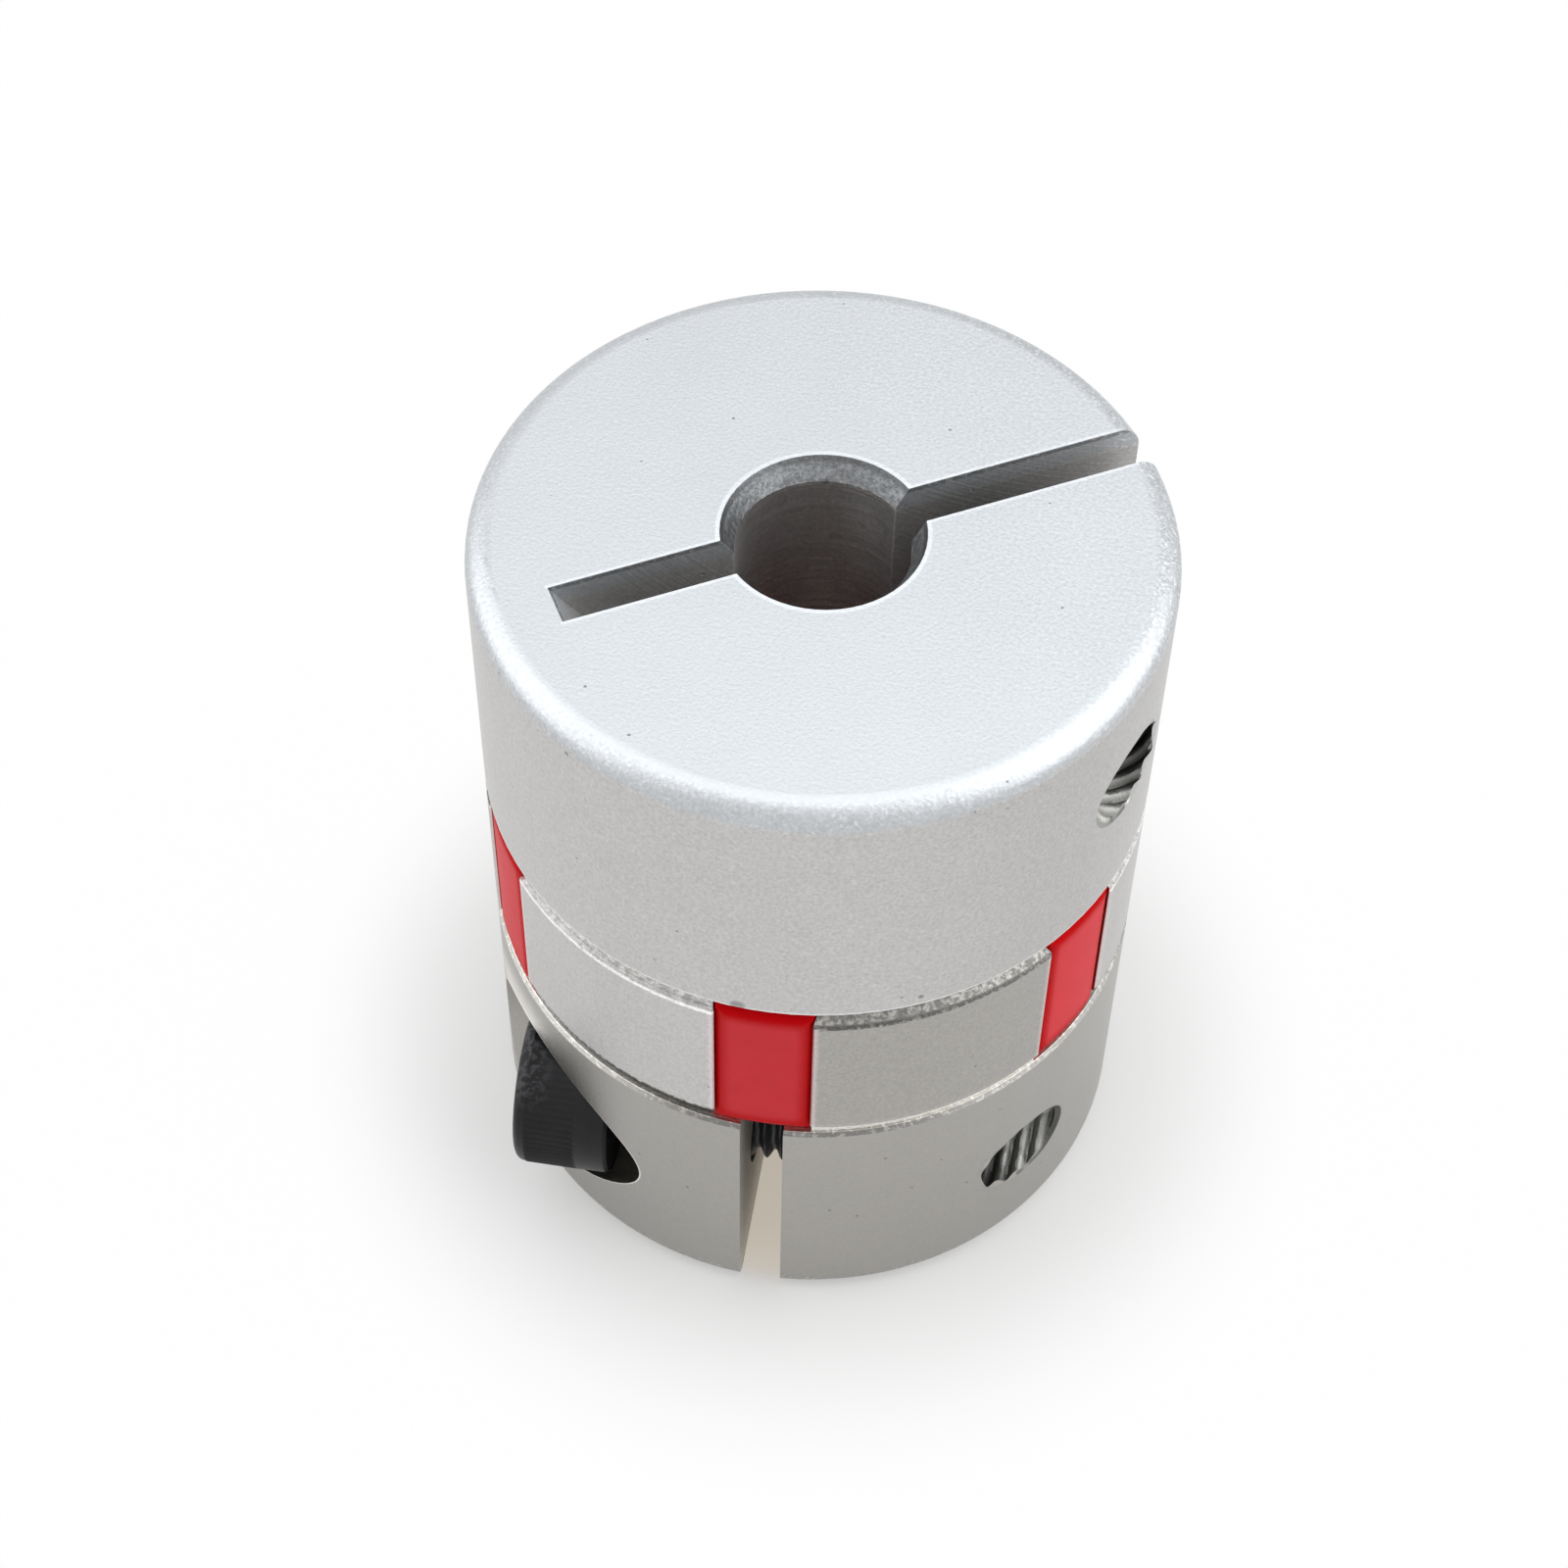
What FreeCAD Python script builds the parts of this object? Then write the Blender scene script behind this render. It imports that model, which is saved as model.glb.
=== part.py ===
# Clamp-type jaw coupling: two like aluminium hubs, a six-legged elastomer spider
# between their jaws, and a socket-head clamp screw in each hub.
#
# The frame: Z is the coupling's axis, Z = 0 is the lower hub's end face, and the
# lower hub's clamp slot opens towards -Y. Lengths are in millimetres, angles in degrees.
import FreeCAD, Part
import math
import os

# Hub
outer_d = 20.0
hub_length = 9.34
jaw_space = 6.32
bore_d = 5.0
bore_rim_d = 5.8
bore_rim_angle = 60.0
end_round = 0.77
edge_break = 0.12

# Jaws, three on each hub, placed from the lower slot's direction, with a groove across the root of each
jaw_count = 3
jaw_inner_d = 9.8
jaw_tip_gap = 0.25
jaw_tip_chamfer = 0.35
jaw_groove_height = 0.45
jaw_groove_depth = 0.16
slot_direction = -90.0
turn_over_step = 4

# Spider legs: their width at the rim, their full width at a depth below it, and the play at each side
leg_rim_width = 2.68
leg_full_width = 3.7
leg_full_depth = 3.0
leg_play = 0.04
leg_recess = 0.05
leg_round = 0.45
spider_hole_d = 7.0
spider_ring_play = 0.2
spider_end_play = 0.1

# Clamp slot, sawn from the hub's end with a disc cutter, with a wall left at its closed end
slot_width = 1.3
slot_end_wall = 2.15
saw_d = 50.0
saw_centre_height = 12.5

# Clamp screw, M3 x 10 with a socket head, its axis set in from the rim, turned out a little
screw_from_rim = 3.77
screw_height = 4.45
screw_d = 3.0
screw_length = 10.0
screw_point = 0.35
head_d = 5.4
head_height = 3.0
head_round = 0.3
socket_width = 2.5
socket_depth = 1.5
socket_bottom_angle = 120.0
screw_turned_out = 1.4
pocket_play = 0.25
pocket_wall = 3.05
shank_hole_play = 0.2
thread_play = 0.04

# Worked out from the sizes above
outer_r = outer_d / 2
bore_r = bore_d / 2
total_length = 2 * hub_length + jaw_space
jaw_pitch = 360.0 / jaw_count
leg_pitch = jaw_pitch / 2
jaw_tip_z = hub_length + jaw_space - jaw_tip_gap
screw_offset = outer_r - screw_from_rim
pocket_floor_x = -(slot_width / 2 + pocket_wall)
turn_over_direction = slot_direction + turn_over_step * leg_pitch

X = FreeCAD.Vector(1, 0, 0)
Z = FreeCAD.Vector(0, 0, 1)
ORIGIN = FreeCAD.Vector(0, 0, 0)
BEYOND = outer_d


def outline(points):
    """A closed wire through points, where a point with a third entry is an arc's middle."""
    edges = []
    start = points[0]
    middle = None
    for point in points[1:] + points[:1]:
        if len(point) == 3:
            middle = point[:2]
            continue
        a = FreeCAD.Vector(*start, 0)
        b = FreeCAD.Vector(*point, 0)
        if middle:
            edges.append(Part.Arc(a, FreeCAD.Vector(*middle, 0), b).toShape())
        else:
            edges.append(Part.LineSegment(a, b).toShape())
        start = point
        middle = None
    return Part.Wire(edges)


def turned(points):
    """The solid turned about Z from an outline in (radius, height)."""
    face = Part.Face(outline(points))
    face.rotate(ORIGIN, X, 90)
    return face.revolve(ORIGIN, Z, 360)


def prism(points, bottom, height):
    """The upright solid over an outline in (x, y)."""
    face = Part.Face(outline(points))
    face.translate(Z * bottom)
    return face.extrude(Z * height)


def about_axis(shape, angle):
    """A copy of a shape, turned about the coupling's axis."""
    copy = shape.copy()
    copy.rotate(ORIGIN, Z, angle)
    return copy


def leg_half_width(radius):
    """Half of a leg's width at a distance from the axis: each flank is one bulging arc."""
    full_r = outer_r - leg_full_depth
    drop = (leg_full_width - leg_rim_width) / 2
    flank_r = (leg_full_depth ** 2 + drop ** 2) / (2 * drop)
    return leg_full_width / 2 - flank_r + math.sqrt(flank_r ** 2 - (radius - full_r) ** 2)


def leg_outline(inner, outer, play):
    """A leg along +X from one radius to another, with play added at both flanks."""
    middle = (inner + outer) / 2
    a, b, c = (leg_half_width(r) + play for r in (inner, middle, outer))
    return [(inner, -a), (middle, -b, "arc"), (outer, -c), (outer, c), (middle, b, "arc"), (inner, a)]


def jaw_gap():
    """What is cut away between two jaws: a sector with half a leg's space at both sides.

    Each space widens at the rim, which breaks the jaw's edge there.
    """
    side = math.radians(leg_pitch / 2)
    corner = (BEYOND * math.cos(side), BEYOND * math.sin(side))
    sector = prism([(0, 0), (corner[0], -corner[1]), corner], hub_length, jaw_space)
    half = leg_half_width(outer_r) + leg_play
    rim_x = math.sqrt(outer_r ** 2 - half ** 2)
    leg = prism(leg_outline(spider_hole_d / 2, rim_x, leg_play), hub_length, jaw_space)
    start = rim_x - edge_break
    end = outer_r + edge_break
    flare = half + end - start
    mouth = prism([(start, -half), (end, -flare), (end, flare), (start, half)], hub_length, jaw_space)
    space = leg.fuse(mouth)
    return sector.fuse([about_axis(space, leg_pitch / 2), about_axis(space, -leg_pitch / 2)])


def rod(diameter, start, end):
    """A round bar along X on the clamp screw's axis."""
    centre = FreeCAD.Vector(start, -screw_offset, screw_height)
    return Part.makeCylinder(diameter / 2, end - start, centre, X)


def clamp_slot():
    """The disc cutter where it stops, in the plane X = 0 and reaching in from -Y."""
    reach = math.sqrt((saw_d / 2) ** 2 - saw_centre_height ** 2)
    closed_end = outer_r - slot_end_wall
    centre = FreeCAD.Vector(-slot_width / 2, closed_end - reach, -saw_centre_height)
    return Part.makeCylinder(saw_d / 2, slot_width, centre, X)


def hub():
    """One hub, standing on its end face with its jaws up."""
    rim_r = bore_rim_d / 2
    rim_depth = (rim_r - bore_r) / math.tan(math.radians(bore_rim_angle / 2))
    bend = end_round * (1 - math.sqrt(0.5))
    groove_r = outer_r - jaw_groove_depth
    groove_top = hub_length + jaw_groove_height
    body = turned([
        (rim_r, 0),
        (outer_r - end_round, 0),
        (outer_r - bend, bend, "arc"),
        (outer_r, end_round),
        (outer_r, hub_length - edge_break),
        (outer_r - edge_break, hub_length),
        (groove_r, hub_length),
        (groove_r, groove_top),
        (outer_r, groove_top),
        (outer_r, jaw_tip_z - jaw_tip_chamfer),
        (outer_r - jaw_tip_chamfer, jaw_tip_z),
        (jaw_inner_d / 2, jaw_tip_z),
        (jaw_inner_d / 2, hub_length),
        (bore_r, hub_length),
        (bore_r, rim_depth),
    ])
    gap = jaw_gap()
    cuts = [about_axis(gap, slot_direction - leg_pitch / 2 + k * jaw_pitch) for k in range(jaw_count)]
    cuts.append(clamp_slot())
    cuts.append(rod(head_d + 2 * pocket_play, -BEYOND, pocket_floor_x))
    cuts.append(rod(screw_d + 2 * shank_hole_play, pocket_floor_x, 0))
    cuts.append(rod(screw_d + 2 * thread_play, 0, BEYOND))
    return body.cut(cuts)


def clamp_screw():
    """The clamp screw in the lower hub, its head towards -X."""
    seat_x = pocket_floor_x - screw_turned_out
    end_x = seat_x + screw_length
    head = rod(head_d, seat_x - head_height, seat_x)
    rim = [e for e in head.Edges if e.BoundBox.XMax < seat_x - head_height / 2 and len(e.Vertexes) == 1]
    head = head.makeFillet(head_round, rim)
    shank = rod(screw_d, seat_x, end_x)
    point = [e for e in shank.Edges if e.BoundBox.XMin > end_x - screw_point and len(e.Vertexes) == 1]
    shank = shank.makeChamfer(screw_point, point)
    centre = FreeCAD.Vector(seat_x - head_height, -screw_offset, screw_height)
    corner_r = socket_width / math.sqrt(3)
    corners = [centre + FreeCAD.Vector(0, corner_r * math.cos(a), corner_r * math.sin(a))
               for a in (math.radians(60 * k) for k in range(7))]
    socket = Part.Face(Part.makePolygon(corners)).extrude(X * socket_depth)
    drill_r = socket_width / 2
    drill_depth = drill_r / math.tan(math.radians(socket_bottom_angle / 2))
    drill = Part.makeCone(drill_r, 0, drill_depth, centre + X * socket_depth, X)
    return head.fuse(shank).cut([socket, drill]).removeSplitter()


def spider():
    """The elastomer spider: a ring with a leg between each two neighbouring jaws."""
    bottom = hub_length + spider_end_play
    height = jaw_space - 2 * spider_end_play
    ring_r = jaw_inner_d / 2 - spider_ring_play
    rim_r = outer_r - leg_recess
    leg = prism(leg_outline(spider_hole_d / 2, outer_r, 0), bottom, height)
    leg = leg.common(Part.makeCylinder(rim_r, height, Z * bottom))
    edge_round = min(leg_round, leg_half_width(spider_hole_d / 2) / 2)
    rim_edges = [e for e in leg.Edges if e.BoundBox.XMin > ring_r]
    leg = leg.makeFillet(edge_round, rim_edges)
    ring = Part.makeCylinder(ring_r, height, Z * bottom)
    legs = [about_axis(leg, slot_direction + k * leg_pitch) for k in range(2 * jaw_count)]
    hole = Part.makeCylinder(spider_hole_d / 2, height, Z * bottom)
    return ring.fuse(legs).cut(hole).removeSplitter()


def turned_over(shape):
    """A copy of a lower piece, where the like upper piece is: turned half round about a level line.

    The line lies a whole number of leg pitches from the lower slot, so that the jaws interlock.
    """
    angle = math.radians(turn_over_direction)
    copy = shape.copy()
    copy.rotate(Z * (total_length / 2), FreeCAD.Vector(math.cos(angle), math.sin(angle), 0), 180)
    return copy


lower_hub = hub()
lower_screw = clamp_screw()
pieces = {
    "lower_hub": lower_hub,
    "upper_hub": turned_over(lower_hub),
    "spider": spider(),
    "lower_clamp_screw": lower_screw,
    "upper_clamp_screw": turned_over(lower_screw),
}

os.makedirs("parts", exist_ok=True)
for name, shape in pieces.items():
    shape.exportStep("parts/%s.step" % name)
    box = shape.BoundBox
    print("%-18s solids %d valid %s volume %.1f mm3, z %.2f to %.2f" % (
        name, len(shape.Solids), shape.isValid(), shape.Volume, box.ZMin, box.ZMax))
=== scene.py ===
# %% [markdown]
# # A jaw coupling
#
# A jaw coupling joins two motor shafts end to end. It has two like aluminium hubs, whose
# jaws interlock around a red elastomer spider, and a black cap screw in each hub that closes
# the sawn slot on the shaft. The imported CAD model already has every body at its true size, so
# this lesson dresses it: the camera and light first, then the threads and knurls that are too
# fine for the solids, and last the finishes.

# %% Load the CAD model as a fixed frame
import math
from types import SimpleNamespace
import bpy
import bmesh
from mathutils import Matrix, Vector


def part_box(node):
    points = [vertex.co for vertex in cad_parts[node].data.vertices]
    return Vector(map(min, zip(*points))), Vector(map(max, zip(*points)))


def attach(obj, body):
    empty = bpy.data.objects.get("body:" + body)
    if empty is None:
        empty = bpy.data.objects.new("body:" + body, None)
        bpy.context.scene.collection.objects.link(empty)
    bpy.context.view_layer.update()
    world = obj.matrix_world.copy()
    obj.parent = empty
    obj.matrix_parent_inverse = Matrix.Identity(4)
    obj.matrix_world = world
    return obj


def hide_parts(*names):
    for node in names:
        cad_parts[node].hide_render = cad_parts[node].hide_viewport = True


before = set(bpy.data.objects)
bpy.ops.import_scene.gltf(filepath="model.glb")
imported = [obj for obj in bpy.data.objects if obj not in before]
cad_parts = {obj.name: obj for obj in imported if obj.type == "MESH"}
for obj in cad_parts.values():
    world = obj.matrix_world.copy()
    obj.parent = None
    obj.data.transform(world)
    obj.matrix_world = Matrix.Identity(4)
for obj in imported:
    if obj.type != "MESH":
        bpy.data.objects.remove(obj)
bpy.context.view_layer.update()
MM = 0.001
print("CAD nodes:", ", ".join(sorted(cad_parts)))

# %% [markdown]
# ## The camera
#
# The photograph looks down on the coupling from quite near, so the far rim is clearly smaller
# than the near one. A camera can be placed by eye, but here the outlines of the two ends, the
# slot and the jaws give its place to a fraction of a millimetre. It is a long lens, turned a
# little about its own axis, because the photograph isn't quite level.

# %% Place the camera
EYE = Vector((7.784, -59.585, 91.484)) * MM
AIM = Vector((-0.962, -0.1415, 13.4423)) * MM
ROLL = math.radians(1.077)

camera = bpy.data.objects.new("camera", bpy.data.cameras.new("camera"))
camera.data.sensor_width = 36.0
camera.data.lens = 73.9
camera.data.clip_start = 5 * MM
camera.data.clip_end = 5.0
look = (AIM - EYE).to_track_quat("-Z", "Y").to_matrix().to_4x4()
camera.matrix_world = Matrix.Translation(EYE) @ look @ Matrix.Rotation(ROLL, 4, "Z")
bpy.context.scene.collection.objects.link(camera)
bpy.context.scene.camera = camera
bpy.context.scene.view_settings.view_transform = "Standard"
print("camera %.1f mm from the middle of the coupling" % ((EYE - AIM).length / MM))

# %% [markdown]
# ## Shader maths as plain sums
#
# A finish is a sum of small parts: a tone, a grain, a few pits. Wiring each sum by hand takes
# dozens of Math nodes. So one small class wraps a node's output, and Python's own operators
# add the Math nodes, also where the number stands first, as in 1 - mask. Every other node
# comes from one function, which sets the node's own settings first and then gives each socket
# a value or a link.

# %% One class for a socket, one function for a node
def sum_node(operation, flipped=False):
    """A method for one of Python's operators. Flipped is for a number that stands first."""
    if flipped:
        return lambda self, other: self.math(operation, other, self)
    return lambda self, other: self.math(operation, self, other)


class Wire:
    """A node's output. Sums on it add Math nodes to its tree."""

    def __init__(self, tree, output):
        self.tree = tree
        self.output = output

    def also(self, name):
        """Another output of the same node."""
        return Wire(self.tree, self.output.node.outputs[name])

    def math(self, operation, *values):
        """A Math node of any operation, over sockets and numbers."""
        return add(self.tree, "ShaderNodeMath", {"operation": operation}, dict(enumerate(values)))

    def __abs__(self):
        return self.math("ABSOLUTE", self)

    __add__, __radd__ = sum_node("ADD"), sum_node("ADD", True)
    __sub__, __rsub__ = sum_node("SUBTRACT"), sum_node("SUBTRACT", True)
    __mul__, __rmul__ = sum_node("MULTIPLY"), sum_node("MULTIPLY", True)
    __truediv__, __rtruediv__ = sum_node("DIVIDE"), sum_node("DIVIDE", True)
    __pow__, __rpow__ = sum_node("POWER"), sum_node("POWER", True)
    __lt__, __gt__ = sum_node("LESS_THAN"), sum_node("GREATER_THAN")


def add(tree, kind, settings=None, inputs=None, output=0):
    """A new node in a tree: first its settings, then a value or a link for each socket."""
    node = tree.nodes.new(kind)
    for name, value in (settings or {}).items():
        setattr(node, name, value)
    for key, value in (inputs or {}).items():
        if isinstance(value, Wire):
            tree.links.new(value.output, node.inputs[key])
        else:
            node.inputs[key].default_value = value
    if node.outputs:
        return Wire(tree, node.outputs[output])

# %% [markdown]
# ## Light
#
# The photograph was lit softly from all round, over a white table. Bead-blasted metal shows its
# surroundings as a blur, so they matter more than any hard lamp: the top face sees what hangs
# over and behind the coupling, the rounded rim sees the windows at both sides, and the side
# sees the table. A photographed panorama could give such a room, but a plain white world with a
# few lamps needs no image and is easy to tune. The eye and the metal see this world as pure
# white, and it lights matt things less strongly.

# %% Make the world
def seen(tree):
    """1 for the eye, and for what metal and glass show of their surroundings."""
    rays = add(tree, "ShaderNodeLightPath")
    return rays + rays.also("Is Glossy Ray") + rays.also("Is Transmission Ray")


world = bpy.data.worlds.new("studio")
bpy.context.scene.world = world
world.use_nodes = True
sky = world.node_tree
sky.nodes.clear()
white = add(sky, "ShaderNodeBackground", inputs={"Color": (1, 1, 1, 1), "Strength": 1.0})
lit = add(sky, "ShaderNodeBackground", inputs={"Color": (0.98, 0.99, 1.0, 1), "Strength": 0.52})
backdrop = add(sky, "ShaderNodeMixShader", inputs={0: seen(sky), 1: lit, 2: white})
add(sky, "ShaderNodeOutputWorld", inputs={0: backdrop})
print("world: %d nodes" % len(sky.nodes))

# %% [markdown]
# ## The lamps
#
# Three lamps stand for what is bright in the room: one overhead, a little behind the coupling,
# and a window at each side. A Sun lamp would draw hard edges and a dark shadow, which the
# photograph doesn't have. Area lamps about as wide as they are far away give soft ones.

# %% Hang the lamps
HUB_MIDDLE = Vector((0, 0, 12))


def soft_lamp(name, place, size, brightness, colour):
    """A square lamp that faces the coupling: millimetres, and how much it adds to white."""
    lamp = bpy.data.lights.new(name, "AREA")
    lamp.size = size * MM
    lamp.energy = brightness * math.pi * lamp.size ** 2
    lamp.color = colour
    holder = bpy.data.objects.new(name, lamp)
    holder.location = Vector(place) * MM
    holder.rotation_mode = "QUATERNION"
    holder.rotation_quaternion = (HUB_MIDDLE - Vector(place)).to_track_quat("-Z", "Y")
    bpy.context.scene.collection.objects.link(holder)
    print("%-13s %.0f mm away, %.4f W" % (name, Vector(place).length, lamp.energy))


soft_lamp("overhead", (-20, 48, 300), 330, 0.85, (0.94, 0.98, 1.0))
soft_lamp("left window", (-290, -10, 175), 380, 1.1, (0.97, 0.99, 1.0))
soft_lamp("right window", (280, 6, 195), 450, 1.3, (0.97, 0.99, 1.0))

# %% [markdown]
# ## Soft steps and mixed colours
#
# A mask that says where a tone goes needs a soft edge, and a Map Range node set to a smooth
# step gives one from any height or radius. A Mix node then joins two colours by that mask. Both
# nodes are wanted again and again, so each gets a short name of its own.

# %% Two helpers for masks and colours
def rise(value, low, high):
    """0 below low, 1 above high, and smooth between them."""
    return add(value.tree, "ShaderNodeMapRange", {"interpolation_type": "SMOOTHSTEP"},
               {"Value": value, "From Min": low, "From Max": high})


def blend(share, first, second):
    """A colour between two others."""
    return add(share.tree, "ShaderNodeMix", {"data_type": "RGBA"},
               {0: share, 6: first, 7: second}, 2)

# %% [markdown]
# ## The table
#
# The table is white, and near the coupling it keeps the soft shadow of its foot. Further out
# the photograph is pure white. A very bright lamp would give that too, but it would bleach the
# metal, so the table's own colour fades to white with distance instead, for what the eye and
# the metal see. Under the sawn slot a painted pool of light, warmed a little as if it had come
# down between the slot's walls, keeps the strip of table pale.

# %% Make the table
PER_METRE = 1000.0
TABLE_HALF = 1.5
corners = [(-1, -1), (1, -1), (1, 1), (-1, 1)]
table_mesh = bpy.data.meshes.new("table")
table_mesh.from_pydata([(x * TABLE_HALF, y * TABLE_HALF, 0) for x, y in corners],
                       [], [(0, 1, 2, 3)])
table = bpy.data.objects.new("table", table_mesh)
bpy.context.scene.collection.objects.link(table)

paint = bpy.data.materials.new("white table")
paint.use_nodes = True
top = paint.node_tree
top.nodes.clear()
spot = add(top, "ShaderNodeTexCoord", output="Object")
away = add(top, "ShaderNodeVectorMath", {"operation": "LENGTH"}, {0: spot}, "Value") * PER_METRE
sideways = add(top, "ShaderNodeSeparateXYZ", None, {0: spot}) * PER_METRE
# Painted light: a warm, paler pool on the table under the sawn slot, as if light came down
# between its walls.
painted_slot_light = (abs(sideways) < 0.7) * (1 - rise(away, 9.0, 10.3))
matt = add(top, "ShaderNodeBsdfDiffuse", inputs={"Color": (0.76, 0.75, 0.74, 1)})
glow_colour = blend(painted_slot_light, (1, 1, 1, 1), (1.0, 0.90, 0.76, 1))
glow = add(top, "ShaderNodeEmission", inputs={"Color": glow_colour, "Strength": 1.0})
whiter = 0.32 + 0.66 * rise(away, 10.0, 17.5) + 0.14 * painted_slot_light
cover = add(top, "ShaderNodeMixShader", inputs={0: whiter * seen(top), 1: matt, 2: glow})
add(top, "ShaderNodeOutputMaterial", inputs={0: cover})
table_mesh.materials.append(paint)
print("table: %.0f m square, %d nodes" % (2 * TABLE_HALF, len(top.nodes)))

# %% [markdown]
# ## The upper pieces are the lower ones, turned end for end
#
# Both hubs are the same part, and so are both screws. Each fine piece could be built twice, but
# it is made once, in the lower hub, and a copy of its mesh is turned half round about a level
# line through the middle, just as a fitter would turn the second hub over.

# %% Turn a lower mesh into its upper twin
TURN = math.radians(150.0)
LENGTH = 25.0
middle = Matrix.Translation((0, 0, LENGTH / 2 * MM))
turned_over = middle @ Matrix.Rotation(math.pi, 4, Vector((math.cos(TURN), math.sin(TURN), 0)))
turned_over = turned_over @ middle.inverted()
print("turned about a level line at %.0f degrees, %.1f mm up" % (math.degrees(TURN), LENGTH / 2))

# %% [markdown]
# ## A closed skin over rings of points
#
# The screws and the tapped holes are round, but not plain: knurls, a hexagon and threads change
# their radius. Modifiers such as Screw could wind the thread, yet they leave open ends. Here
# the skin is laid over rings of points about the screw's axis instead, each ring with its own
# radii, and its two ends are closed.

# %% Lay a skin over rings
STEPS = 144
SCREW_Y = -6.23
SCREW_Z = 4.45
SHARP = math.radians(35)
print("%d points in each ring, one every %.1f degrees" % (STEPS, 360 / STEPS))


def ring(along, radius):
    """Points about the screw's axis. Both arguments may be numbers or functions of the angle."""
    points = []
    for step in range(STEPS):
        angle = math.tau * step / STEPS
        x = along(angle) if callable(along) else along
        r = radius(angle, x) if callable(radius) else radius
        y, z = SCREW_Y + r * math.cos(angle), SCREW_Z + r * math.sin(angle)
        points.append(Vector((x, y, z)) * MM)
    return points


def skin(name, rings, closed_loop=False):
    """A mesh over rings of points: its ends are filled, or joined where it is a closed loop."""
    shape = bmesh.new()
    rows = [[shape.verts.new(point) for point in points] for points in rings]
    pairs = list(zip(rows, rows[1:]))
    if closed_loop:
        pairs.append((rows[-1], rows[0]))
    else:
        shape.faces.new(rows[0][::-1])
        shape.faces.new(rows[-1])
    for row, following in pairs:
        for k in range(STEPS):
            n = (k + 1) % STEPS
            shape.faces.new((row[k], row[n], following[n], following[k]))
    bmesh.ops.remove_doubles(shape, verts=shape.verts, dist=1e-7)
    bmesh.ops.dissolve_degenerate(shape, edges=shape.edges, dist=1e-7)
    bmesh.ops.recalc_face_normals(shape, faces=shape.faces)
    mesh = bpy.data.meshes.new(name)
    shape.to_mesh(mesh)
    shape.free()
    mesh.shade_smooth()
    mesh.set_sharp_from_angle(angle=SHARP)
    print("%s: %d rings, %d faces" % (name, len(rings), len(mesh.polygons)))
    return mesh

# %% [markdown]
# ## The thread
#
# An M3 thread climbs 0.5 mm a turn. Its flanks meet at 60 degrees, with an eighth of the pitch
# left flat at the crest and a quarter at the root. It could be a plain cylinder with a bump
# map, but the empty holes show its ridges in outline. So one function gives the depth at any
# point, and the screw and the tapped hole both use it, so their flanks run side by side.

# %% The thread's depth at a point
PITCH = 0.5
THREAD_STEP = PITCH / 10
CREST_EDGE = 1 / 16
ROOT_EDGE = 1 / 2 - 1 / 8


def groove(angle, x):
    """0 on the thread's crest and 1 at its root, at an angle and a distance along the axis."""
    phase = (x / PITCH - angle / math.tau) % 1
    from_crest = min(phase, 1 - phase)
    return min(1.0, max(0.0, (from_crest - CREST_EDGE) / (ROOT_EDGE - CREST_EDGE)))


def spaced(start, end, step):
    """Evenly spaced distances along the axis."""
    count = math.ceil((end - start) / step)
    return [start + (end - start) * k / count for k in range(count + 1)]


depths = ["%.2f" % groove(0, x) for x in spaced(0, PITCH / 2, THREAD_STEP)]
print("depth from crest to root:", " ".join(depths))

# %% [markdown]
# ## The clamp screws
#
# Each is a black M3 socket-head cap screw. Its head has a rounded rim, a straight knurl for the
# fingers and a hexagon socket with a small countersink and a drilled bottom. The CAD solid has
# no knurl and no thread. Cutting them with Boolean modifiers would be slow and leave ragged
# faces, so a finer mesh of the same size, laid over rings, takes the solid's place.

# %% Sizes and sections of a clamp screw
HEAD_R = 2.7
HEAD_HEIGHT = 3.0
HEAD_ROUND = 0.3
PLAIN_R = HEAD_R - 0.02
KNURL_DEPTH = 0.07
SOCKET = 2.5
SOCKET_DEPTH = 1.5
SOCKET_MOUTH_R = 1.56
COUNTERSINK = 0.13
DRILL_R = 1.22
DRILL_DEPTH = 2.2
SHANK_R = 1.5
SHANK_CREST = 1.485
SHANK_THREAD = 0.295
SHANK_POINT = 0.35
NECK_ROUND = 0.12
RUN_OUT = 0.6
low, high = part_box("lower_clamp_screw")
head_end = low.x / MM
tip = high.x / MM
seat_x = head_end + HEAD_HEIGHT
knurl_start = head_end + 0.36
knurl_end = seat_x - 1.0
print("screw from x %.2f to %.2f mm" % (head_end, tip))


def hexagon(angle, x):
    """The socket's radius: the apothem, over the cosine of the angle from a flat's middle."""
    return SOCKET / 2 / math.cos(angle % (math.pi / 3) - math.pi / 6)


def knurl(depth):
    """A straight knurl: every other point on the ring lies a little deeper."""
    return lambda angle, x: HEAD_R - depth * (round(angle / math.tau * STEPS) % 2)


def shank(angle, x):
    """The thread, fading out under the head and cut to a cone at the tip."""
    depth = groove(angle, x) * min(1.0, (x - seat_x) / RUN_OUT)
    return min(SHANK_CREST - SHANK_THREAD * depth, SHANK_R - SHANK_POINT + (tip - x))


def rounded(outer, start, size, count=5):
    """Rings round the head's outer rim."""
    turns = [math.pi / 2 * k / count for k in range(count + 1)]
    return [ring(start + size * (1 - math.cos(t)), outer - size + size * math.sin(t))
            for t in turns]

# %% [markdown]
# ## From sections to a screw
#
# A turned part is drawn as a profile and spun about its axis. The rings do the same, with each
# ring free to be round, toothed or six-sided. They start at the drilled bottom of the socket,
# come out over its countersunk mouth, go round the head's rim and along the knurl, turn in
# under the head, and end with ten rings for each turn of the thread.

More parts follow.
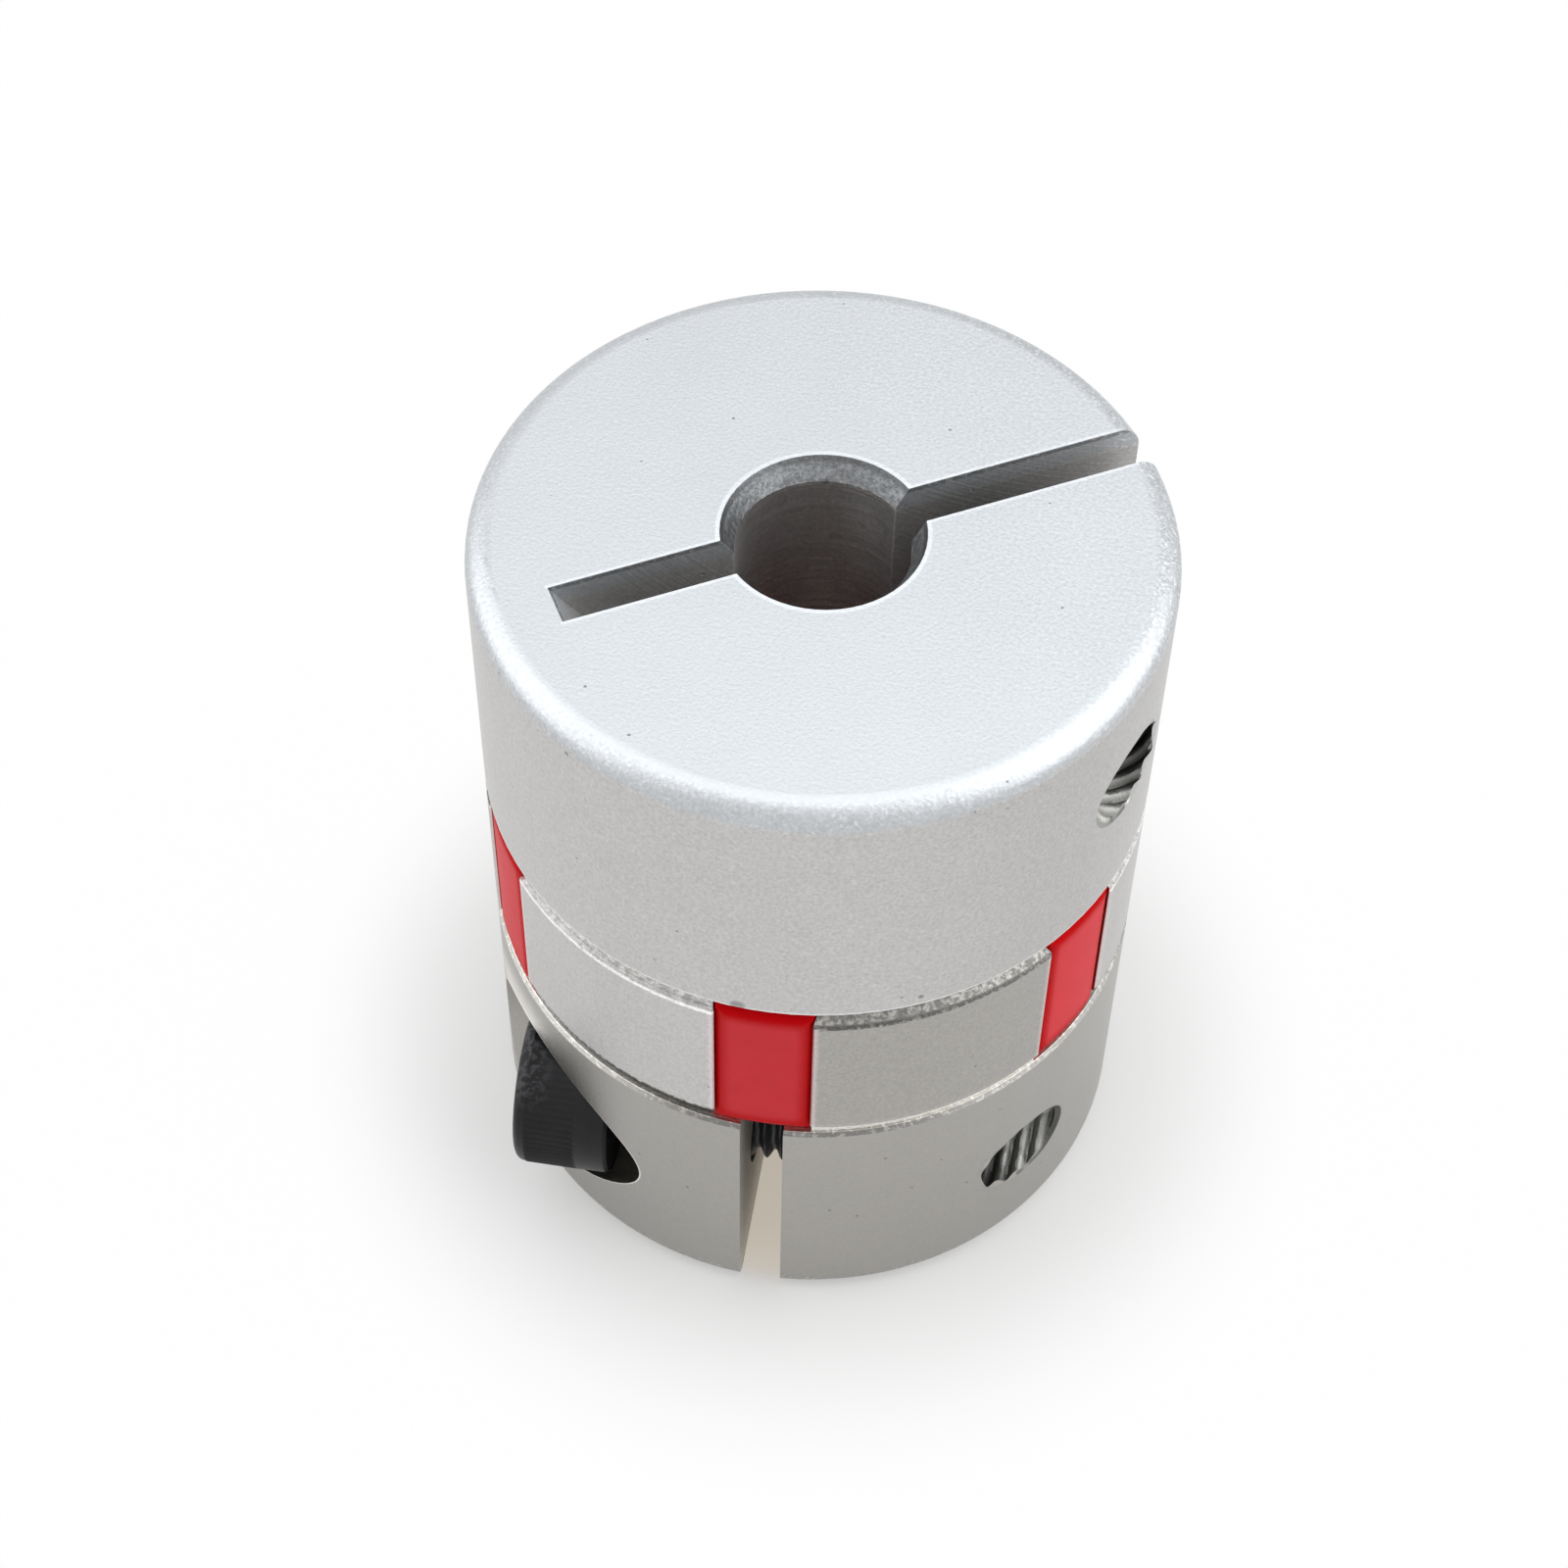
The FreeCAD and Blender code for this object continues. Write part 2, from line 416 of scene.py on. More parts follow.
# %% Build one clamp screw
socket_rings = [
    ring(head_end + DRILL_DEPTH, 0.02),
    ring(head_end + SOCKET_DEPTH, DRILL_R),
    ring(head_end + SOCKET_DEPTH, hexagon),
    ring(head_end + COUNTERSINK, hexagon),
    ring(head_end, SOCKET_MOUTH_R),
]
knurl_rings = [
    ring(knurl_start, knurl(0.0)),
    ring(knurl_start + 0.08, knurl(KNURL_DEPTH)),
    ring(knurl_end - 0.1, knurl(KNURL_DEPTH)),
    ring(knurl_end, knurl(0.0)),
]
neck_rings = [
    ring(seat_x - 0.1, PLAIN_R),
    ring(seat_x, PLAIN_R - 0.1),
    ring(seat_x, SHANK_R + NECK_ROUND),
    ring(seat_x + NECK_ROUND, SHANK_R - 0.01),
]
shank_rings = [ring(x, shank) for x in spaced(seat_x + 0.15, tip, THREAD_STEP)]
rings = socket_rings + rounded(PLAIN_R, head_end, HEAD_ROUND)
rings += knurl_rings + neck_rings + shank_rings
screw_mesh = skin("lower_cap_screw", rings)

# %% [markdown]
# ## The tapped holes
#
# Past the screw's tip the empty thread shows where the hole leaves the hub's side. The CAD hole
# is plain, at the thread's root, and the hub's own mesh stays as it is. So a sleeve of thread
# lies in the hole, from the slot's wall to the hub's side, where it is cut off flush. Its mouth
# is a little smaller than the CAD hole, with a broken edge, and the flush ring round the mouth
# has the hub's own finish.

# %% Sizes and sections of a tapped hole
HUB_R = 10.0
SLOT_WALL = 0.65
ROOT_R = 1.54
CREST_R = 1.24
MOUTH_ROOT_R = 1.40
MOUTH_R = 1.45
MOUTH_DEPTH = 0.07
WORN_FROM = tip + 0.2
JUST_UNDER = 0.003
SLEEVE_R = ROOT_R + 0.02
print("thread sleeve %.2f mm thick at its crests" % (SLEEVE_R - CREST_R))


def hub_side(angle, radius):
    """How far along the screw's axis the hub's side is, just under its surface."""
    y = SCREW_Y + radius * math.cos(angle)
    return math.sqrt((HUB_R - JUST_UNDER) ** 2 - y * y)


def tapped(angle, x):
    """The hole's radius: past the screw's tip the tap's worn last teeth cut less deep."""
    worn = min(1.0, max(0.0, x - WORN_FROM))
    root = ROOT_R + (MOUTH_ROOT_R - ROOT_R) * worn
    return CREST_R + (root - CREST_R) * (1 - groove(angle, x))


def within(x):
    """As far as x, or to where the broken edge of the mouth begins."""
    return lambda angle: min(x, hub_side(angle, CREST_R) - MOUTH_DEPTH)

# %% [markdown]
# ## From sections to a threaded hole
#
# The sleeve is a closed loop of rings: along the thread to the hub's side, over the broken edge
# of the mouth, out to the sleeve's own radius and back inside the metal to the slot's wall. The
# hub's side is curved, so the last rings follow it. Cutting the end off with a Boolean would do
# that too, but the rings keep the mesh clean. The faces that lie on the side get the second
# material, and flat shading, so that they look like the hub round them.

# %% Build one tapped hole's thread
past_the_side = hub_side(0, CREST_R) + 0.8
hole_rings = [ring(within(x), tapped) for x in spaced(SLOT_WALL, past_the_side, THREAD_STEP)]
for r in (MOUTH_R, SLEEVE_R):
    hole_rings.append(ring(lambda angle: hub_side(angle, r), r))
hole_rings.append(ring(SLOT_WALL, SLEEVE_R))
thread_mesh = skin("lower_tapped_thread", hole_rings, closed_loop=True)
flush = 0
for face in thread_mesh.polygons:
    centre = face.center / MM
    if math.hypot(centre.x, centre.y) > HUB_R - 0.03:
        face.material_index = 1
        face.use_smooth = False
        flush += 1
print("faces flush with the hub's side:", flush)

# %% [markdown]
# ## Finishes
#
# A finish could start from UV coordinates, but the CAD meshes have none. So every finish here
# starts from the place of a point in millimetres, and its grain has a real size. The Principled
# shader's fixed numbers go straight on its sockets, and what changes over the surface is linked.

# %% Start a finish
def new_finish(name, **fixed):
    """A material, its shader, and the place on the coupling in millimetres."""
    finish = bpy.data.materials.new(name)
    finish.use_nodes = True
    tree = finish.node_tree
    tree.nodes.clear()
    inputs = {key.replace("_", " "): value for key, value in fixed.items()}
    shader = add(tree, "ShaderNodeBsdfPrincipled", inputs=inputs)
    add(tree, "ShaderNodeOutputMaterial", inputs={0: shader})
    coordinates = add(tree, "ShaderNodeTexCoord", output="Object")
    place = add(tree, "ShaderNodeVectorMath", {"operation": "SCALE"},
                {0: coordinates, "Scale": PER_METRE})
    return finish, shader, place


def feed(shader, socket, value):
    """Link what changes over the surface to one socket of the shader."""
    shader.tree.links.new(value.output, shader.output.node.inputs[socket])


def noise(place, scale, detail, roughness=0.5):
    """Cloudy noise between 0 and 1, with so many clouds to a millimetre."""
    return add(place.tree, "ShaderNodeTexNoise", None,
               {"Vector": place, "Scale": scale, "Detail": detail, "Roughness": roughness})


def shade(colour, amount):
    """A colour made lighter or darker by a number that varies over the surface."""
    return add(amount.tree, "ShaderNodeVectorMath", {"operation": "SCALE"},
               {0: colour, "Scale": amount})


def bump(height, depth_mm):
    """The small tilt of the surface over a relief so many millimetres deep."""
    return add(height.tree, "ShaderNodeBump", None,
               {"Height": height, "Distance": depth_mm * MM, "Strength": 1.0})


def finished(material):
    """Say how large a finish has become, and hand it on."""
    print("%-34s %3d nodes" % (material.name, len(material.node_tree.nodes)))
    return material

# %% [markdown]
# ## Where a point is on its hub
#
# The hubs are turned, milled, blasted with fine beads and anodised, and cut once more where
# they are sawn, bored and tapped. Each tool leaves its marks in its own place. They could be
# painted on an image, but that needs an unwrapped mesh and is only as sharp as its pixels. Here
# each mark is worked out from where a point is: a mask says where, and a number says how much
# lighter or darker. Both hubs have the same marks, turned end for end, so a point on the upper
# hub is first turned back to where it would be on the lower one.

# %% Find a point's place on its own hub
BORE_R = 2.5
RIM_DEPTH = 0.72
ROUND_TOP = 0.8
SLOT_END_Y = 7.9
HUB_LENGTH = 9.34
print("hub %.2f mm long without its jaws, bore %.1f mm" % (HUB_LENGTH, 2 * BORE_R))


def band(value, start, end):
    """1 between two values, 0 outside them."""
    return (value > start) * (value < end)


def own_axes(place, upper):
    """X, Y and Z as the lower piece has them, for it or for its upper twin."""
    axes = add(place.tree, "ShaderNodeSeparateXYZ", None, {0: place})
    x, y, z = axes, axes.also("Y"), axes.also("Z")
    if upper:
        cos, sin = math.cos(TURN), math.sin(TURN)
        along = 2 * (x * cos + y * sin)
        x, y, z = along * cos - x, along * sin - y, LENGTH - z
    return x, y, z


def spot_on_hub(place, upper):
    """A point's place on its own hub, with the masks and the specks that several marks share."""
    x, y, z = own_axes(place, upper)
    radius = (x * x + y * y) ** 0.5
    sawn = (abs(x) < SLOT_WALL + 0.01) * (radius < HUB_R - 0.02) * (y < SLOT_END_Y)
    sawn = sawn * band(z, 0.02, HUB_LENGTH - 0.01)
    coarse = noise(place, 6.0, 3.0, 0.7)
    return SimpleNamespace(
        place=place, upper=upper, x=x, y=y, z=z, radius=radius, sawn=sawn,
        on_end=z < 0.05,
        in_bore=(radius < BORE_R + 0.05) * (z > RIM_DEPTH),
        in_rim=(radius < BORE_R + 0.42) * band(z, 0.01, RIM_DEPTH) * (1 - sawn),
        coarse=coarse, speck=rise(coarse, 0.40, 0.64))

# %% [markdown]
# ## The blasted skin
#
# Blasting leaves a fine even grain, with a dark pit where a bead struck hard. A Noise node is
# enough for the grain. For the pits a Voronoi node is better: each of its cells has a middle,
# and only some cells are chosen, so that the pits are small and lie far apart. The grain is
# painted with more contrast on the upper hub's side, where the light grazes it, and calmer on
# its end face, and the upper hub's side has painted shade on its right.

# %% Grain and pits
def pitted(place):
    """1 in the middle of a pit."""
    cells = add(place.tree, "ShaderNodeTexVoronoi", None, {"Vector": place, "Scale": 1.3})
    chosen = add(place.tree, "ShaderNodeSeparateColor", None, {0: cells.also("Color")}) > 0.72
    return (1 - rise(cells, 0.03, 0.085)) * chosen


def blasted(at, grain, pits):
    """How much lighter or darker the blasted skin is."""
    body = at.z < HUB_LENGTH
    # Painted light: the grain's contrast is stronger on the upper hub's side, where the light
    # grazes it, and calmer on its end face.
    contrast = (0.66 if at.upper else 0.26) * body + 0.6 * (1 - body)
    if at.upper:
        contrast = contrast - at.on_end * (0.16 + 0.28 * rise(at.y, -6.0, 1.0))
    cloud = noise(at.place, 0.35, 2.0)
    light = (1 + contrast * (grain - 0.5)) * (0.97 + 0.06 * cloud) * (1 - 0.45 * pits)
    if at.upper:
        # Painted shade: the upper hub's side is darker on its right.
        side = at.z > ROUND_TOP
        light = light * (1 - 0.1 * side * (1 - rise(at.y, -5.0, 2.5)))
    return light

# %% [markdown]
# ## Tracks of the cutters
#
# Where a cutter has been after the blasting, the metal shows its track: rings in the bore, and
# arcs about the saw's centre on the slot's walls. A Wave node would make them too even. Noise
# over the one distance that matters, along the bore or from the saw's centre, gives lines of
# uneven strength. The countersunk rim of the bore is darker, and its edge and the slot's are
# ragged just under the end face.

# %% Rings in the bore, arcs in the slot
RINGS_A_MM = 9.0
ARCS_A_MM = 12.0
SAW_CENTRE_Y = -13.8
SAW_CENTRE_Z = -12.5
saw_r = math.hypot(SLOT_END_Y - SAW_CENTRE_Y, SAW_CENTRE_Z)
print("the saw's arc at the end face is %.1f mm from its centre" % saw_r)


def bore_rings(at):
    """Noise drawn out into rings about the bore."""
    spread = add(at.z.tree, "ShaderNodeCombineXYZ", None, {0: at.z * RINGS_A_MM, 1: at.radius})
    return noise(spread, 1.0, 3.0)


def saw_arcs(at):
    """Noise drawn out into arcs about the saw's centre."""
    from_saw = ((at.y - SAW_CENTRE_Y) ** 2.0 + (at.z - SAW_CENTRE_Z) ** 2.0) ** 0.5
    spread = add(at.z.tree, "ShaderNodeCombineXYZ", None, {0: from_saw * ARCS_A_MM})
    return noise(spread, 1.0, 2.0)


def cutter_tracks(at, rings_cut, arcs_cut):
    """How much lighter or darker the bore, its rim and the slot's walls are."""
    # Painted light: the bore is lighter.
    light = (1 + 0.14 * at.in_bore) * (1 + 0.4 * at.in_bore * (rings_cut - 0.5))
    light = light * (1 - 0.46 * at.in_rim) * (1 + 0.5 * at.in_rim * (at.speck - 0.5))
    # Painted light: the sawn walls, in the slot's shade, are lighter on the lower hub.
    light = light * (1 + (0.03 if at.upper else 0.4) * at.sawn)
    light = light * (1 + 0.4 * at.sawn * (arcs_cut - 0.5))
    lip = (at.sawn + at.in_rim) * (1 - rise(at.z, 0.12, 0.22))
    return light * (1 - 0.45 * lip * rise(at.coarse, 0.36, 0.5))

# %% [markdown]
# ## Edges of the jaws
#
# A groove runs across the jaws' roots, and their tips are chamfered. The anodising is thin and
# speckled along such edges, and their light and shade are painted: on the upper hub the groove's
# floor has painted shade and its edge on the jaws' side a painted glint, on the lower hub the
# floor is painted light, on both the shelf inside the groove is painted light and the chamfer
# has painted shade with painted glints and dark specks, and the broken edges beside the legs
# have a painted highlight with a faint painted red reflection of the legs. The CAD model has
# these edges, but they are only a pixel or two wide, so their tone is given by height and
# radius here.

# %% Groove, chamfer and the edges beside the legs
GROOVE_TOP = 9.79
CHAMFER_Z = 15.06
TIP_DARK_Z = (15.28, 15.38)
print("groove %.2f mm high, chamfer from z %.2f mm" % (GROOVE_TOP - HUB_LENGTH, CHAMFER_Z))


def near(value, centre, width):
    """1 at a centre, falling to 0 at a width from it."""
    return 1 - rise(abs(value - centre), width * 0.4, width)


def off_leg(sine):
    """0 along the middle of a leg and 1 midway to the next: 1 - |sin 3a|, from the sine of a."""
    return 1 - abs(sine * (3 - 4 * sine * sine))


def beside_legs(at):
    """1 on the broken edges of a jaw, beside the legs."""
    on_jaw = band(at.z, GROOVE_TOP + 0.02, CHAMFER_Z) * (at.radius > HUB_R - 0.12)
    return on_jaw * (1 - rise(off_leg(at.y / at.radius), 0.100, 0.122))


def groove_tones(at):
    """How much lighter or darker the groove, its two edges and the shelf inside it are, mostly by
    painted light and shade.
    """
    jaw_side = near(at.z, GROOVE_TOP + 0.03, 0.17) * (at.radius > HUB_R - 0.15)
    floor = band(at.z, HUB_LENGTH + 0.01, GROOVE_TOP - 0.01) * (at.radius > HUB_R - 0.2)
    broken = band(at.z, HUB_LENGTH - 0.12, HUB_LENGTH + 0.01) * (at.radius > HUB_R - 0.2)
    shelf = near(at.z, HUB_LENGTH, 0.03) * band(at.radius, HUB_R - 0.6, HUB_R - 0.11)
    worn = 0.3 * rise(at.x, -5.0, -2.0) + 0.2 * near(at.x, 1.0, 5.5)
    worn = worn - 0.4 * rise(at.coarse, 0.5, 0.62)
    # Painted light: the shelf inside the groove, in the shade under each jaw's tip, is lighter.
    light = (1 - broken * worn) * (1 + shelf)
    if at.upper:
        # Painted highlights: on the upper hub the groove's edge on the jaws' side glints, and so
        # does a line on the body's edge below it.
        edge_line = near(at.z, HUB_LENGTH - 0.15, 0.06) * (at.radius > HUB_R - 0.02)
        light = light * (1 + jaw_side * (0.45 + 0.8 * at.speck)) * (1 + 0.3 * edge_line)
        # Painted shade: the upper hub's groove floor is darker, with light specks.
        return light * (1 + floor * (0.5 * at.speck - 0.38))
    # Painted light: the lower hub's groove floor is much lighter, with light specks.
    return light * (1 + 0.1 * jaw_side) * (1 + floor * (0.5 * at.speck + 1.3))


def chamfer_tones(at):
    """How much lighter or darker the jaws' chamfered tips are: painted shade, darkest at the tip,
    with painted glints and dark specks.
    """
    chamfer = (at.z > CHAMFER_Z) * (at.radius > HUB_R - 0.345)
    dots = near(at.z, CHAMFER_Z, 0.11) * (at.radius > HUB_R - 0.1) * rise(at.coarse, 0.40, 0.52)
    # Painted shade: the chamfer is darker, a little less so towards one side, with specks.
    light = 1 + chamfer * (0.6 * at.speck - 0.74 + 0.18 * rise(at.x, -3.0, 2.0))
    # Painted glints as light specks along the chamfer's lower edge on one side, and dark specks
    # on the other.
    light = light * (1 + dots * (0.5 - 1.2 * rise(at.x, -3.0, 0.0)))
    # Painted shade of the gap under the other hub, darkest at the jaw's tip.
    return light * (1 - 0.5 * rise(at.z, *TIP_DARK_Z))

# %% [markdown]
# ## Edges of the end face and the pocket
#
# A thin painted highlight line runs round the bore and along the slot on the end face, where the
# edge is broken, and the rounded rim has painted glints in its grain and light and dark flecks
# by the slot's mouth. The pocket for the screw's head is painted lighter inside, and above it
# the lower hub has a painted sheen with a thin painted highlight line along the pocket's edge.
# A bevel could catch real light there, but the CAD mesh isn't changed in this lesson, so these
# are tones too.

# %% Round, halo lines and pocket
POCKET_R = HEAD_R + 0.25
POCKET_FLOOR_X = -3.7
print("pocket %.1f mm across, its floor at x %.1f mm" % (2 * POCKET_R, POCKET_FLOOR_X))


def from_screw_axis(y, z):
    """The distance from the clamp screw's axis."""
    return ((y - SCREW_Y) ** 2.0 + (z - SCREW_Z) ** 2.0) ** 0.5


def end_tones(at, grain):
    """How much lighter or darker the end's round is, with painted glints and flecks, and painted
    highlight lines round bore and slot.
    """
    on_round = rise(at.radius, 9.15, 9.4) * (at.z < ROUND_TOP)
    by_mouth = 1 - rise(at.y, -9.0, -4.0)
    flecks = 0.8 * rise(at.coarse, 0.52, 0.64) - 0.5 * rise(at.coarse, 0.36, 0.5) + 0.28
    # Painted glints in the round's grain, and light and dark flecks by the slot's mouth.
    light = 1 + on_round * (0.14 * rise(grain, 0.6, 0.72) + 0.5 * by_mouth * flecks)
    round_bore = near(at.radius, BORE_R + 0.46, 0.09)
    beside_slot = near(abs(at.x), SLOT_WALL + 0.04, 0.08) * (at.y < SLOT_END_Y)
    # Painted highlight lines round the bore and beside the slot, where the edges are broken.
    return light * (1 + 0.22 * at.on_end * (round_bore + beside_slot))


def pocket_tones(at):
    """How much painted light the pocket has, and on the lower hub the painted sheen on the side
    above it.
    """
    out = from_screw_axis(at.y, at.z)
    inside = (out < POCKET_R + 0.02) * (at.x < POCKET_FLOOR_X + 0.1)
    # Painted light inside the pocket.
    light = 1 + 0.9 * inside * rise(at.x, -8.6, -6.0)
    if not at.upper:
        # Painted sheen on the lower hub above the pocket, with a painted highlight line along its
        # edge.
        above = (1 - rise(at.x, -8.0, -6.2)) * rise(at.z, 5.4, 7.4) * (1 - rise(at.y, -3.6, -2.6))
        line = 0.4 * near(out, POCKET_R + 0.05, 0.12)
        light = light * (1 + above * (line + 1 - rise(out, POCKET_R, 4.6)))
    return light

# %% [markdown]
# ## Blasted and anodised aluminium
#
# The hubs' clear anodising leaves them silver grey. One function makes the finish for each hub:
# it multiplies all the tones above, darkens a few single marks that the photograph shows, such
# as the notch under the upper hub's edge, and adds the same grain and tracks as a low relief.
# One material for both would be less to keep, but the upper hub is turned over and its end face
# has a cool painted reflection of the overhead light, and the lower hub is painted darker, as
# painted shade. So each hub has its own.

# %% Make the hubs' metal
# Painted reflection of the legs' red in the jaws' edges beside them.
LEG_RED_REFLECTION = (0.80, 0.60, 0.60, 1)
UPPER_TONE = (0.548, 0.540, 0.531, 1)
# Painted light and shade: the upper end face's cool tone is a painted reflection of the overhead
# light, and the lower hub's darker tone is painted shade.
UPPER_END_SKY_TONE = (0.530, 0.547, 0.566, 1)
LOWER_SHADED_TONE = (0.398, 0.384, 0.362, 1)


def hub_metal(name, tone, end_tone, upper, marks=()):
    """Blasted aluminium for one hub. Each mark has a place, a size and a darkness."""
    metal, shader, place = new_finish(name, Metallic=1.0)
    at = spot_on_hub(place, upper)
    grain = noise(place, 9.0, 3.0, 0.6)
    pits = pitted(place)
    rings_cut = bore_rings(at)
    arcs_cut = saw_arcs(at)
    jaw_edge = beside_legs(at)
    light = blasted(at, grain, pits) * cutter_tracks(at, rings_cut, arcs_cut)
    # Painted highlight: the broken edges beside the legs are lighter.
    light = light * groove_tones(at) * chamfer_tones(at) * (1 + 0.12 * jaw_edge)
    light = light * end_tones(at, grain) * pocket_tones(at)
    for spot, size, darkness in marks:
        distance = add(place.tree, "ShaderNodeVectorMath", {"operation": "DISTANCE"},
                       {0: place, 1: spot}, "Value")
        light = light * (1 - darkness * (1 - rise(distance, 0.4 * size, size)))
    # The end face takes its own tone: on the upper hub a painted reflection of the overhead
    # light.
    tones = blend(1 - rise(at.z, 0.5, 0.85), tone, end_tone)
    # Painted reflection: the edges beside the legs take a faint red from the legs.
    tones = blend(0.35 * jaw_edge, tones, LEG_RED_REFLECTION)
    relief = grain * (1 - 0.7 * (at.in_bore + at.sawn)) - 1.5 * pits
    relief = relief + 2.0 * rings_cut * at.in_bore + 1.5 * arcs_cut * at.sawn
    feed(shader, "Base Color", shade(tones, light))
    feed(shader, "Roughness", 0.35 + 0.1 * grain + 0.05 * at.in_bore + 0.15 * at.sawn)
    feed(shader, "Normal", bump(relief, 0.012))
    return finished(metal)


upper_marks = [
    ((-0.72, -9.97, 15.84), 0.30, 0.45),
    ((4.35, -9.0, 16.15), 0.12, 0.5),
    ((-5.62, -8.27, 24.15), 0.10, 0.5),
    ((-0.33, 2.48, 24.3), 0.14, 0.4),
]
upper_metal = hub_metal("blasted aluminium, upper hub", UPPER_TONE, UPPER_END_SKY_TONE, True,
                        upper_marks)
lower_metal = hub_metal("blasted aluminium, lower hub", LOWER_SHADED_TONE, LOWER_SHADED_TONE, False)

# %% [markdown]
# ## Red elastomer
#
# The spider is moulded polyurethane: a deep red that light enters a little, with a smooth skin.
# A plain red plastic would look flat. So a little light goes under the surface, and the colour
# follows each leg: full red on its face, with a painted pink reflection of the table in it,
# painted shade in a deeper red where it turns in beside the jaws and at its ends, and a painted
# sheen as a lighter line along the deep red at both sides.

# %% Make the spider's elastomer
# The face's pink is partly the red's own colour and partly a painted reflection of the table; the
# sheen red is a painted highlight, and the shaded red is painted shade.
FACE_RED = (0.65, 0.040, 0.049, 1)
SHEEN_RED = (0.74, 0.10, 0.115, 1)
SHADED_RED = (0.53, 0.001, 0.003, 1)


def red_elastomer():
    """Polyurethane for the spider."""
    rubber, shader, place = new_finish(
        "red elastomer", Subsurface_Weight=0.08, Subsurface_Radius=(1.0, 0.2, 0.15),
        Subsurface_Scale=0.4 * MM, Specular_IOR_Level=0.03)
    x, y, z = own_axes(place, False)
    off = off_leg(y / (x * x + y * y) ** 0.5)
    at_sides = rise(off, 0.035, 0.08)
    at_ends = rise(abs(z - LENGTH / 2), 2.2, 2.75)
    # Painted shade where each leg turns in beside the jaws and at its ends.
    deep = 1 - (1 - at_sides) * (1 - at_ends)
    # Painted sheen along the shaded red at both sides.
    streak = near(off, 0.105, 0.045) * (1 - rise(z, 14.0, 14.8))
    face = blend(0.6 * streak, FACE_RED, SHEEN_RED)
    light = 0.92 + 0.16 * noise(place, 1.2, 3.0)
    fine = noise(place, 14.0, 2.0)
    feed(shader, "Base Color", shade(blend(deep, face, SHADED_RED), light))
    feed(shader, "Roughness", 0.34 + 0.14 * fine)
    feed(shader, "Normal", bump(fine, 0.006))
    return finished(rubber)


elastomer = red_elastomer()

# %% [markdown]
# ## Black oxide steel
#
# The screws are blackened steel with a thin film of oil: nearly black, with a soft shine. The
# knurl's grooves are too fine for the render to catch one by one, so their light and shade are
# painted as the same number of light and dark lines round the head, fading towards its top.
# Handling has worn a patch of the black at the head's end, and the shank has painted light
# where it crosses the sawn slot, as the photograph shows it.

# %% Make the screws' steel
BLACK = (0.013, 0.013, 0.014)


def black_oxide(name, upper):
    """Blackened steel for one screw."""
    steel, shader, place = new_finish(name, Metallic=0.4, Specular_IOR_Level=0.3)
    x, y, z = own_axes(place, upper)
    angle = place.math("ARCTAN2", z - SCREW_Z, y - SCREW_Y)
    teeth = place.math("COSINE", angle * (STEPS / 2))
    on_knurl = band(x, knurl_start + 0.06, knurl_end - 0.05)
    # Painted light and shade of the knurl's grooves, fading towards the top of the head.
    knurl_lines = on_knurl * teeth * (0.5 - 0.4 * rise(z, SCREW_Z - 0.5, SCREW_Z + 1.5))
    high_on_end = rise(z, SCREW_Z + 1.3, SCREW_Z + 2.2)
    high_on_end = high_on_end * (1 - rise(x, head_end + 0.5, head_end + 1.3))
    worn = high_on_end * rise(noise(place, 5.0, 3.0, 0.7), 0.46, 0.60)
    # Painted light on the shank where it crosses the sawn slot.
    in_slot = abs(x) < SLOT_WALL
    cloud = 0.75 + 0.5 * noise(place, 2.0, 3.0)
    light = cloud * (1 + knurl_lines) + 3.0 * worn + 4.5 * in_slot
    fine = noise(place, 20.0, 2.0)
    feed(shader, "Base Color", shade(BLACK, light))
    feed(shader, "Roughness", 0.36 + 0.16 * fine)
    feed(shader, "Normal", bump(fine, 0.006))
    return finished(steel)


lower_oxide = black_oxide("black oxide steel, lower screw", False)
upper_oxide = black_oxide("black oxide steel, upper screw", True)

# %% [markdown]
# ## Cut thread
#
# The tap has cut through to bare metal after the blasting, and the cut is smoother than the
# hub's skin. Its crests catch the light, and its roots and its depth are darker, because little
# light finds its way in. A render works out some of that shadow by itself. The rest is a tone
# over the radius and over the way in, with the last turn lighter on the upper hub and darker on
# the lower one, which is turned away from the light.

# %% Make the tapped holes' metal
CUT_GREY = (0.34, 0.34, 0.32)


